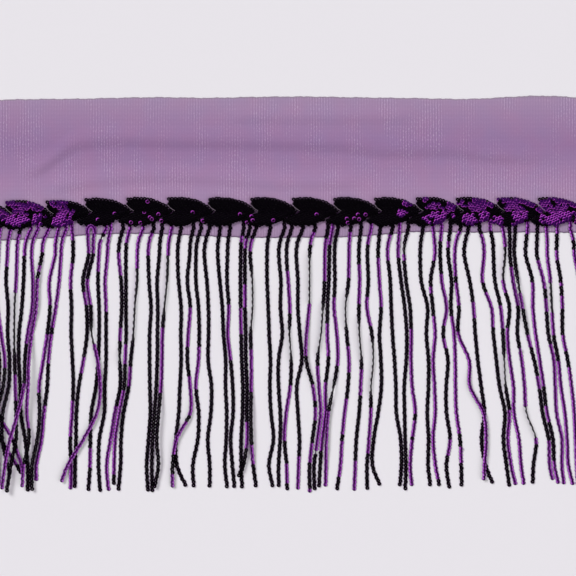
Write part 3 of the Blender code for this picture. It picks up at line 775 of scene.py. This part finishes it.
def leaf_rows(tip, next_tip):
    """Rows of sequins: the upper ones follow the upper edge, the lower ones lean to the point."""
    border = (tip + LEAF_NOTCH).y - ROW_OVERLAP
    arc = upper_arc(tip, next_tip)
    for row in range(UPPER_ROWS):
        inset = LEAF_MARGIN + row * LEAF_ROW_PITCH
        line = []
        for here, after in zip(arc, arc[1:]):
            way = (after - here).normalized()
            line.append(here + Vector((way.y, -way.x)) * inset)
        pitch = LEAF_SEQUIN_PITCH if row else SEQUIN_PITCH
        for place, way in walk(line, pitch * (0.5 if row % 2 else 0.0), pitch):
            if place.y > border:
                yield place, way, Vector((way.y, -way.x)), row == 0
    way = Vector((math.cos(LOWER_ROW_LEAN), math.sin(LOWER_ROW_LEAN)))
    inner = Vector((-way.y, way.x))
    corner = tip + LEAF_LOW_NOTCH
    for row in range(-LOWER_ROWS, LOWER_ROWS):
        lead = LEAF_SEQUIN_PITCH * (LOWER_LEAD + 0.5 * (row % 2))
        start = corner + inner * (row * LEAF_ROW_PITCH) - way * lead
        for step in range(LOWER_STEPS):
            place = start + way * (step * LEAF_SEQUIN_PITCH)
            if place.y < border:
                yield place, way, inner, False


def leaf_places(tip, next_tip, node):
    """The places of those rows whose surroundings all lie on the leaf, with the height there."""
    mesh = node.data
    points = [vertex.co / MM for vertex in mesh.vertices]
    top = BVHTree.FromPolygons(points, [list(face.vertices) for face in mesh.polygons])
    down = Vector((0.0, 0.0, -1.0))
    for place, way, inner, outer_row in leaf_rows(tip, next_tip):
        probes = [place + Vector((math.cos(angle), math.sin(angle))) * LEAF_MARGIN * PROBE_SHARE
                  for angle in QUARTER_TURNS] + [place]
        hits = [top.ray_cast(Vector((*probe, PROBE_HEIGHT)), down)[0] for probe in probes]
        if all(hit is not None for hit in hits):
            yield place, way, inner, hits[-1].z, outer_row


def in_patches(place, patches):
    return any(((place.x - x) / half_x) ** 2 + ((place.y - y) / half_y) ** 2 < 1.0
               for x, y, half_x, half_y in patches)


def lay_leaf(index, node, sequin, stitch, materials, rng):
    """One leaf: its padded ground with rows of overlapping sequins sewn on."""
    tip, next_tip = Vector(LEAF_TIPS[index]), Vector(LEAF_TIPS[index + 1])
    places = list(leaf_places(tip, next_tip, node))
    shake = shakes(rng, len(places), 4)
    centres = np.array([[row[0].x, row[0].y, row[3] + LEAF_SEQUIN_REST] for row in places])
    centres[:, :2] += shake[:, :2] * LEAF_SHAKE
    across = np.array([[*row[1], 0.0] for row in places])
    along = np.array([[*row[2], 0.0] for row in places])
    across[np.cross(across, along)[:, 2] < 0.0] *= -1.0
    up = np.cross(across, along)
    flipped = np.array([in_patches(row[0], PURPLE_PATCHES) and not in_patches(row[0], BLACK_PATCHES)
                        for row in places])
    flipped &= np.array([rng.random() > STRAY_SHARE for _ in places])
    single = np.zeros(len(places), dtype=bool)
    for x, y in TURNED_SEQUINS:
        gaps = np.hypot(centres[:, 0] - x, centres[:, 1] - y)
        if gaps.min() < TURNED_REACH:
            single[gaps.argmin()] = True
    flipped |= single
    axes = turned(across, along, up, LEAF_TILT + shake[:, 2] * LEAF_TILT_SHAKE, "across")
    roll = np.where(flipped, math.pi, 0.0) + shake[:, 3] * LEAF_ROLL_SHAKE
    across, along, up = turned(*axes, roll, "along")

    swing = shake[:, 0] * RIM_SWING
    inwards = unit(along * np.cos(swing)[:, None] + across * np.sin(swing)[:, None])
    outer = np.array([row[4] for row in places])
    trim = Trimmings()
    for model, chosen in ((sequin, ~outer & ~single),
                          (refinished(sequin, BLACK, RINGED), outer & ~single),
                          (refinished(sequin, PURPLE, TURNED), single), (stitch, outer)):
        tone = tone_towards(inwards[chosen], LEAF_SEQUIN_RADIUS, shake[chosen, 1] * RIM_DRIFT)
        trim.add(model, centres[chosen], across[chosen], along[chosen], up[chosen], tone)
    ground, faces = corners_and_faces(node)
    middle = (ground.max(axis=0) + ground.min(axis=0)) / 2.0
    ground[:, :2] = middle[:2] + (ground[:, :2] - middle[:2]) * GROUND_SHARE
    trim.add_plain(ground, faces, THREAD)
    edge = []
    for step in range(EDGE_STEPS + 1):
        place = tip + EDGE_START.lerp(EDGE_END, step / EDGE_STEPS)
        place.x += EDGE_BOW * math.sin(math.pi * step / EDGE_STEPS)
        edge.append((place.x, place.y, EDGE_LEVEL))
    if edge[0][0] > END_MARGIN - HALF_LENGTH and edge[-1][0] < HALF_LENGTH - END_MARGIN:
        thread_tube(trim, edge, EDGE_RADIUS, PALE_LINE)
    piece = trim.finish("leaf_sequins_%02d" % index, materials)
    edit_all(piece)
    bpy.ops.mesh.remove_doubles(threshold=LEAF_MERGE * MM)
    bpy.ops.object.mode_set(mode="OBJECT")
    return piece


def ragged(x, shift):
    """How far a cut edge of the net strays from a smooth line."""
    strays = [math.sin(x * pace + turn * shift) for turn, pace in enumerate(RAGGED_PACES, 1)]
    return RAGGED * sum(strays) / 2.0


def lay_net(material):
    """The heading: a thin sheet of net with its folds, from the hem to the cut top edge."""
    deselect()
    bpy.ops.mesh.primitive_grid_add(x_subdivisions=NET_CELLS_ALONG, y_subdivisions=NET_CELLS_ACROSS,
                                    size=2.0)
    net = bpy.context.object
    net.name = net.data.name = "net_heading"
    mesh = net.data
    cloth = mesh.uv_layers.new(name="Cloth")
    edges = mesh.uv_layers.new(name="Edges")
    edge_distances = []
    for vertex in mesh.vertices:
        x = vertex.co.x * HALF_LENGTH
        t = (vertex.co.y + 1.0) / 2.0
        low, high = hem_edge(x) + ragged(x, 0.0), top_edge(x) + ragged(x, TOP_RAGGED_SHIFT)
        y = low + t * (high - low)
        z = NET_REST + fold_height(x, y)
        vertex.co = Vector((x, y, z)) * MM
        edge_distances.append((y - low, high - y))
    for loop in mesh.loops:
        point = mesh.vertices[loop.vertex_index].co
        cloth.data[loop.index].uv = (point.x * MAP_PACE, point.y * MAP_PACE)
        edges.data[loop.index].uv = edge_distances[loop.vertex_index]
    bpy.ops.object.shade_smooth()
    cloth_thickness = net.modifiers.new("thickness", "SOLIDIFY")
    cloth_thickness.thickness = NET_THICKNESS * MM
    cloth_thickness.offset = 0.0
    bpy.ops.object.modifier_apply(modifier=cloth_thickness.name)
    mesh.materials.append(material)
    return net


def connect(tree, node, sockets):
    """Give each named socket a plain value, or link it to another node's output."""
    for key, value in sockets.items():
        if isinstance(value, bpy.types.NodeSocket):
            tree.links.new(value, node.inputs[key])
        else:
            node.inputs[key].default_value = value


def add_node(tree, kind, sockets, **settings):
    node = tree.nodes.new(kind)
    for key, value in settings.items():
        setattr(node, key, value)
    connect(tree, node, sockets)
    return node


def new_group(name, outputs):
    group = bpy.data.node_groups.new(name, "ShaderNodeTree")
    for socket in outputs:
        group.interface.new_socket(socket, in_out="OUTPUT", socket_type="NodeSocketFloat")
    return group


def group_outputs(tree, group):
    return add_node(tree, "ShaderNodeGroup", {}, node_tree=group).outputs


def new_material(name):
    material = bpy.data.materials.new(name)
    material.use_nodes = True
    return material, material.node_tree, material.node_tree.nodes["Principled BSDF"]


def tint(red, green, blue):
    """A colour as it is seen on a screen, made ready for a shader."""
    return tuple(((value / 255.0 + 0.055) / 1.055) ** 2.4 for value in (red, green, blue))


def uv_map(tree, name):
    return add_node(tree, "ShaderNodeUVMap", {}, uv_map=name).outputs["UV"]


def uv_parts(tree, name):
    return add_node(tree, "ShaderNodeSeparateXYZ", {"Vector": uv_map(tree, name)}).outputs


def object_place(tree):
    return add_node(tree, "ShaderNodeTexCoord", {}).outputs["Object"]


def stretch(tree, vector, scale):
    return add_node(tree, "ShaderNodeMapping", {"Vector": vector, "Scale": scale}).outputs["Vector"]


def noise(tree, vector, scale, detail):
    sockets = {"Vector": vector, "Scale": scale, "Detail": detail}
    return add_node(tree, "ShaderNodeTexNoise", sockets).outputs["Fac"]


def waves(tree, vector, direction, waving):
    sockets = {"Vector": vector, **waving}
    return add_node(tree, "ShaderNodeTexWave", sockets, wave_type="BANDS",
                    bands_direction=direction).outputs["Fac"]


def remap(tree, value, spread, result=(0.0, 1.0)):
    """Turn one spread of values evenly into another."""
    sockets = {"Value": value, "From Min": spread[0], "From Max": spread[1],
               "To Min": result[0], "To Max": result[1]}
    return add_node(tree, "ShaderNodeMapRange", sockets).outputs["Result"]


def times(tree, first, second):
    return add_node(tree, "ShaderNodeMath", {0: first, 1: second}, operation="MULTIPLY").outputs["Value"]


def bumped(tree, height, strength, depth):
    sockets = {"Height": height, "Strength": strength, "Distance": depth}
    return add_node(tree, "ShaderNodeBump", sockets).outputs["Normal"]


def ramp(tree, value, stops):
    node = add_node(tree, "ShaderNodeValToRGB", {"Fac": value})
    colours = node.color_ramp
    while len(colours.elements) < len(stops):
        colours.elements.new(0.5)
    for element, (place, colour) in zip(colours.elements, stops):
        element.position = place
        element.color = (*colour, 1.0)
    return node.outputs["Color"]


def mix_colour(tree, factor, first, second):
    first, second = ((*tone, 1.0) if isinstance(tone, tuple) else tone for tone in (first, second))
    return add_node(tree, "ShaderNodeMix", {0: factor, 6: first, 7: second}, data_type="RGBA").outputs[2]


def disc_marks():
    """Masks that both faces of a sequin use: its sewing hole and its outer edge, where glints,
    highlights and shade are painted, and its lay, which places painted light across it.
    """
    group = new_group("disc marks", ("Hole", "Edge", "Lay", "Wear", "Eye"))
    distance = add_node(group, "ShaderNodeVectorMath", {0: uv_map(group, "Disc"), 1: (0.5, 0.5, 0.0)},
                        operation="DISTANCE").outputs["Value"]
    add_node(group, "NodeGroupOutput", {
        "Hole": remap(group, distance, HOLE_MASK),
        "Edge": remap(group, distance, EDGE_MASK),
        "Lay": uv_parts(group, "Lay")["X"],
        "Wear": noise(group, object_place(group), 900.0, 2.0),
        "Eye": remap(group, distance, EYE_MASK),
    })
    return group


def sequin_face(name, marks, paint, roughness, sheen):
    """One side of the sequins' film; paint makes its colour from the marks on each disc."""
    material, tree, shader = new_material(name)
    found = group_outputs(tree, marks)
    connect(tree, shader, {
        "Base Color": paint(tree, found),
        "Roughness": remap(tree, found["Wear"], (0.0, 1.0), roughness),
        "Specular IOR Level": sheen,
    })
    return material


def black_face(marks, name, mark, glint):
    """Glossy black film with a glint painted into its colour where the mark says: in the cup, round the
    sewing hole, or along the edge.
    """
    def paint(tree, found):
        base = mix_colour(tree, found["Wear"], tint(1, 0, 2), tint(6, 1, 8))
        return mix_colour(tree, found[mark], base, glint)

    return sequin_face(name, marks, paint, (0.2, 0.36), 0.02)


def purple_face(marks):
    """The purple side on a strand, its light and shade painted in: a dark middle of painted shade
    between a bright edge of painted highlight and a paler one.
    """
    def paint(tree, found):
        lay = ramp(tree, found["Lay"], (
            (0.0, tint(208, 150, 222)), (0.12, tint(182, 98, 204)), (0.21, tint(140, 44, 166)),
            (0.28, tint(52, 0, 68)), (0.50, tint(36, 0, 48)), (0.57, tint(90, 8, 112)),
            (0.64, tint(156, 56, 184)), (0.76, tint(186, 98, 210)), (1.0, tint(214, 166, 226)),
        ))
        # Painted shade darkens each sequin's rim a little, where it meets the next
        return mix_colour(tree, times(tree, found["Edge"], STRAND_RIM_SHARE), lay, tint(58, 4, 74))

    return sequin_face("sequin purple face", marks, paint, (0.25, 0.45), 0.05)


def leaf_purple_face(marks, name, far_rim, cup):
    """The purple side on a leaf: bright along the inner rim with a painted highlight, and dark in the
    cup with painted shade.
    """
    def paint(tree, found):
        inner = remap(tree, found["Lay"], (0.5, 0.82), (far_rim, 1.0))
        base = mix_colour(tree, found["Wear"], *cup)
        return mix_colour(tree, times(tree, found["Edge"], inner), base, tint(236, 96, 255))

    return sequin_face(name, marks, paint, (0.25, 0.45), 0.03)


def pale_line_finish():
    """The pale line at the left of a leaf, finely mottled."""
    material, tree, shader = new_material("pale leaf line")
    mottle = noise(tree, object_place(tree), 1600.0, 2.0)
    connect(tree, shader, {
        "Base Color": mix_colour(tree, mottle, tint(92, 78, 94), tint(168, 152, 166)),
        "Roughness": 0.8,
    })
    return material


def thread_finish():
    """Dark sewing thread with its twist."""
    material, tree, shader = new_material("sewing thread")
    twist = waves(tree, object_place(tree), "DIAGONAL", THREAD_TWIST)
    connect(tree, shader, {
        "Base Color": mix_colour(tree, twist, tint(2, 1, 3), tint(14, 9, 16)),
        "Normal": bumped(tree, twist, 0.4, 0.0001),
        "Roughness": 0.65,
        "Specular IOR Level": 0.05,
    })
    return material


def knit_group():
    """The net's fine knit: upright ribs that come and go, cross threads, painted glints along the ribs
    and tone.
    """
    group = new_group("fine net knit", ("Ribs", "Cross", "Glints", "Tone"))
    cloth = uv_map(group, "Cloth")
    ribs = waves(group, cloth, "X", NET_RIBS)
    centred = add_node(group, "ShaderNodeMath", {0: ribs, 1: 0.5}, operation="SUBTRACT")
    patches = noise(group, stretch(group, cloth, PATCH_SCALE), 0.7, 1.0)
    strength = remap(group, patches, (0.42, 0.62), (0.15, 1.0))
    # Painted glints: pale specks along the ribs, in patches
    glint_specks = noise(group, stretch(group, cloth, RIB_GLINT_SCALE), 1.0, 1.0)
    between = times(group, remap(group, glint_specks, (0.5, 0.66)), ribs)
    add_node(group, "NodeGroupOutput", {
        "Ribs": times(group, centred.outputs["Value"], strength),
        "Cross": waves(group, cloth, "Y", NET_CROSS),
        "Glints": times(group, between, strength),
        "Tone": noise(group, cloth, 0.55, 1.0),
    })
    return group


def net_finish(knit):
    """The net's cloth: purple threads over a pale ground, a little see-through between the ribs."""
    material, tree, shader = new_material("purple net")
    found = group_outputs(tree, knit)
    # The net's purple by height, from the hem to the top; the darker band across the middle, along the
    # main fold, is painted shade
    height = remap(tree, uv_parts(tree, "Cloth")["Y"], (HEM_Y, TOP_Y))
    warm = mix_colour(tree, found["Tone"], NET_COOL, NET_WARM)
    hued = add_node(tree, "ShaderNodeVectorMath", {0: ramp(tree, height, NET_BANDS), 1: warm},
                    operation="MULTIPLY")
    ribbed = remap(tree, found["Ribs"], (-0.5, 0.5), (0.88, 1.12))
    scaled = add_node(tree, "ShaderNodeVectorMath", {0: hued.outputs["Vector"], "Scale": ribbed},
                      operation="SCALE")
    # Pale painted glints along the ribs
    rib_glints = times(tree, found["Glints"], RIB_GLINT_STRENGTH)
    colour = mix_colour(tree, rib_glints, scaled.outputs["Vector"], RIB_GLINT_TINT)
    near = uv_parts(tree, "Edges")
    for axis, width, tone in EDGE_LINES:
        line = remap(tree, near[axis], (width, width / 2.0), (0.0, EDGE_LINE_SHARE))
        colour = mix_colour(tree, line, colour, tone)
    connect(tree, shader, {
        "Base Color": colour,
        "Alpha": remap(tree, found["Cross"], (0.0, 1.0), (0.95, 0.8)),
        "Normal": bumped(tree, found["Ribs"], 0.25, 0.0002),
        "Roughness": 0.85,
        "Specular IOR Level": 0.1,
    })
    return material


def set_stage():
    """A plain pale floor, soft light from the upper left, and the camera straight above."""
    deselect()
    bpy.ops.mesh.primitive_plane_add(size=FLOOR_SIZE, location=(0.0, 0.0, 0.0))
    floor = bpy.context.object
    floor.name = "floor"
    material, tree, shader = new_material("pale floor")
    connect(tree, shader, {"Base Color": FLOOR_TINT, "Roughness": 0.9})
    floor.data.materials.append(material)
    for place, strength, spread in SUNS:
        bpy.ops.object.light_add(type="SUN", location=place)
        sun = bpy.context.object
        sun.rotation_euler = (-Vector(place)).to_track_quat("-Z", "Y").to_euler()
        sun.data.energy = strength
        sun.data.angle = math.radians(spread)
    world = bpy.data.worlds.new("studio")
    bpy.context.scene.world = world
    world.use_nodes = True
    connect(world.node_tree, world.node_tree.nodes["Background"],
            {"Color": (1.0, 1.0, 1.0, 1.0), "Strength": SKY_STRENGTH})
    distance = FRAME_WIDTH * MM * LENS / SENSOR
    bpy.ops.object.camera_add(location=(0.0, FRAME_MIDDLE_Y * MM, distance),
                              rotation=(0.0, 0.0, 0.0))
    camera = bpy.context.object
    camera.data.lens = LENS
    camera.data.sensor_width = SENSOR
    bpy.context.scene.camera = camera
    bpy.context.scene.view_settings.view_transform = "Standard"


def main():
    set_stage()
    marks = disc_marks()
    # The pale tints of the black faces are painted glints: round the sewing hole on the strands, in a
    # wider ring on a leaf's outer row, and faintly along the edge of the other leaf sequins
    black = black_face(marks, "sequin black face", "Hole", tint(88, 46, 92))
    ringed = black_face(marks, "leaf edge sequin black face", "Eye", tint(100, 80, 104))
    sewn_black = black_face(marks, "leaf sequin black face", "Edge", tint(10, 3, 13))
    # The leaf purple faces paint a highlight along the inner rim over a cup painted dark as shade; on a
    # turned sequin the painted highlight runs most of the way round
    sewn_purple = leaf_purple_face(marks, "leaf sequin purple face", 0.12,
                                   (tint(28, 0, 46), tint(64, 2, 98)))
    turned_purple = leaf_purple_face(marks, "turned sequin purple face", 0.7,
                                     (tint(8, 0, 12), tint(20, 0, 28)))
    thread = thread_finish()
    strand_finishes = (black, purple_face(marks), thread)
    leaf_finishes = (sewn_black, sewn_purple, thread, pale_line_finish(), ringed, turned_purple)
    sequin = as_arrays(model_sequin(SEQUIN_RADIUS))
    leaf_sequin = as_arrays(model_sequin(LEAF_SEQUIN_RADIUS))
    stitch = as_arrays(model_stitch())
    net = lay_net(net_finish(knit_group()))
    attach(net, "root")
    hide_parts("net")
    strands = lay_strands(sequin, stitch, strand_finishes)
    for piece in strands:
        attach(piece, "root")
        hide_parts("fringe")
    rng = random.Random(LEAF_SEED)
    for index in range(len(LEAF_TIPS) - 1):
        name = "leaf_%02d" % index
        leaf = lay_leaf(index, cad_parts[name], leaf_sequin, stitch, leaf_finishes, rng)
        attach(leaf, "root")
        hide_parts(name)


main()
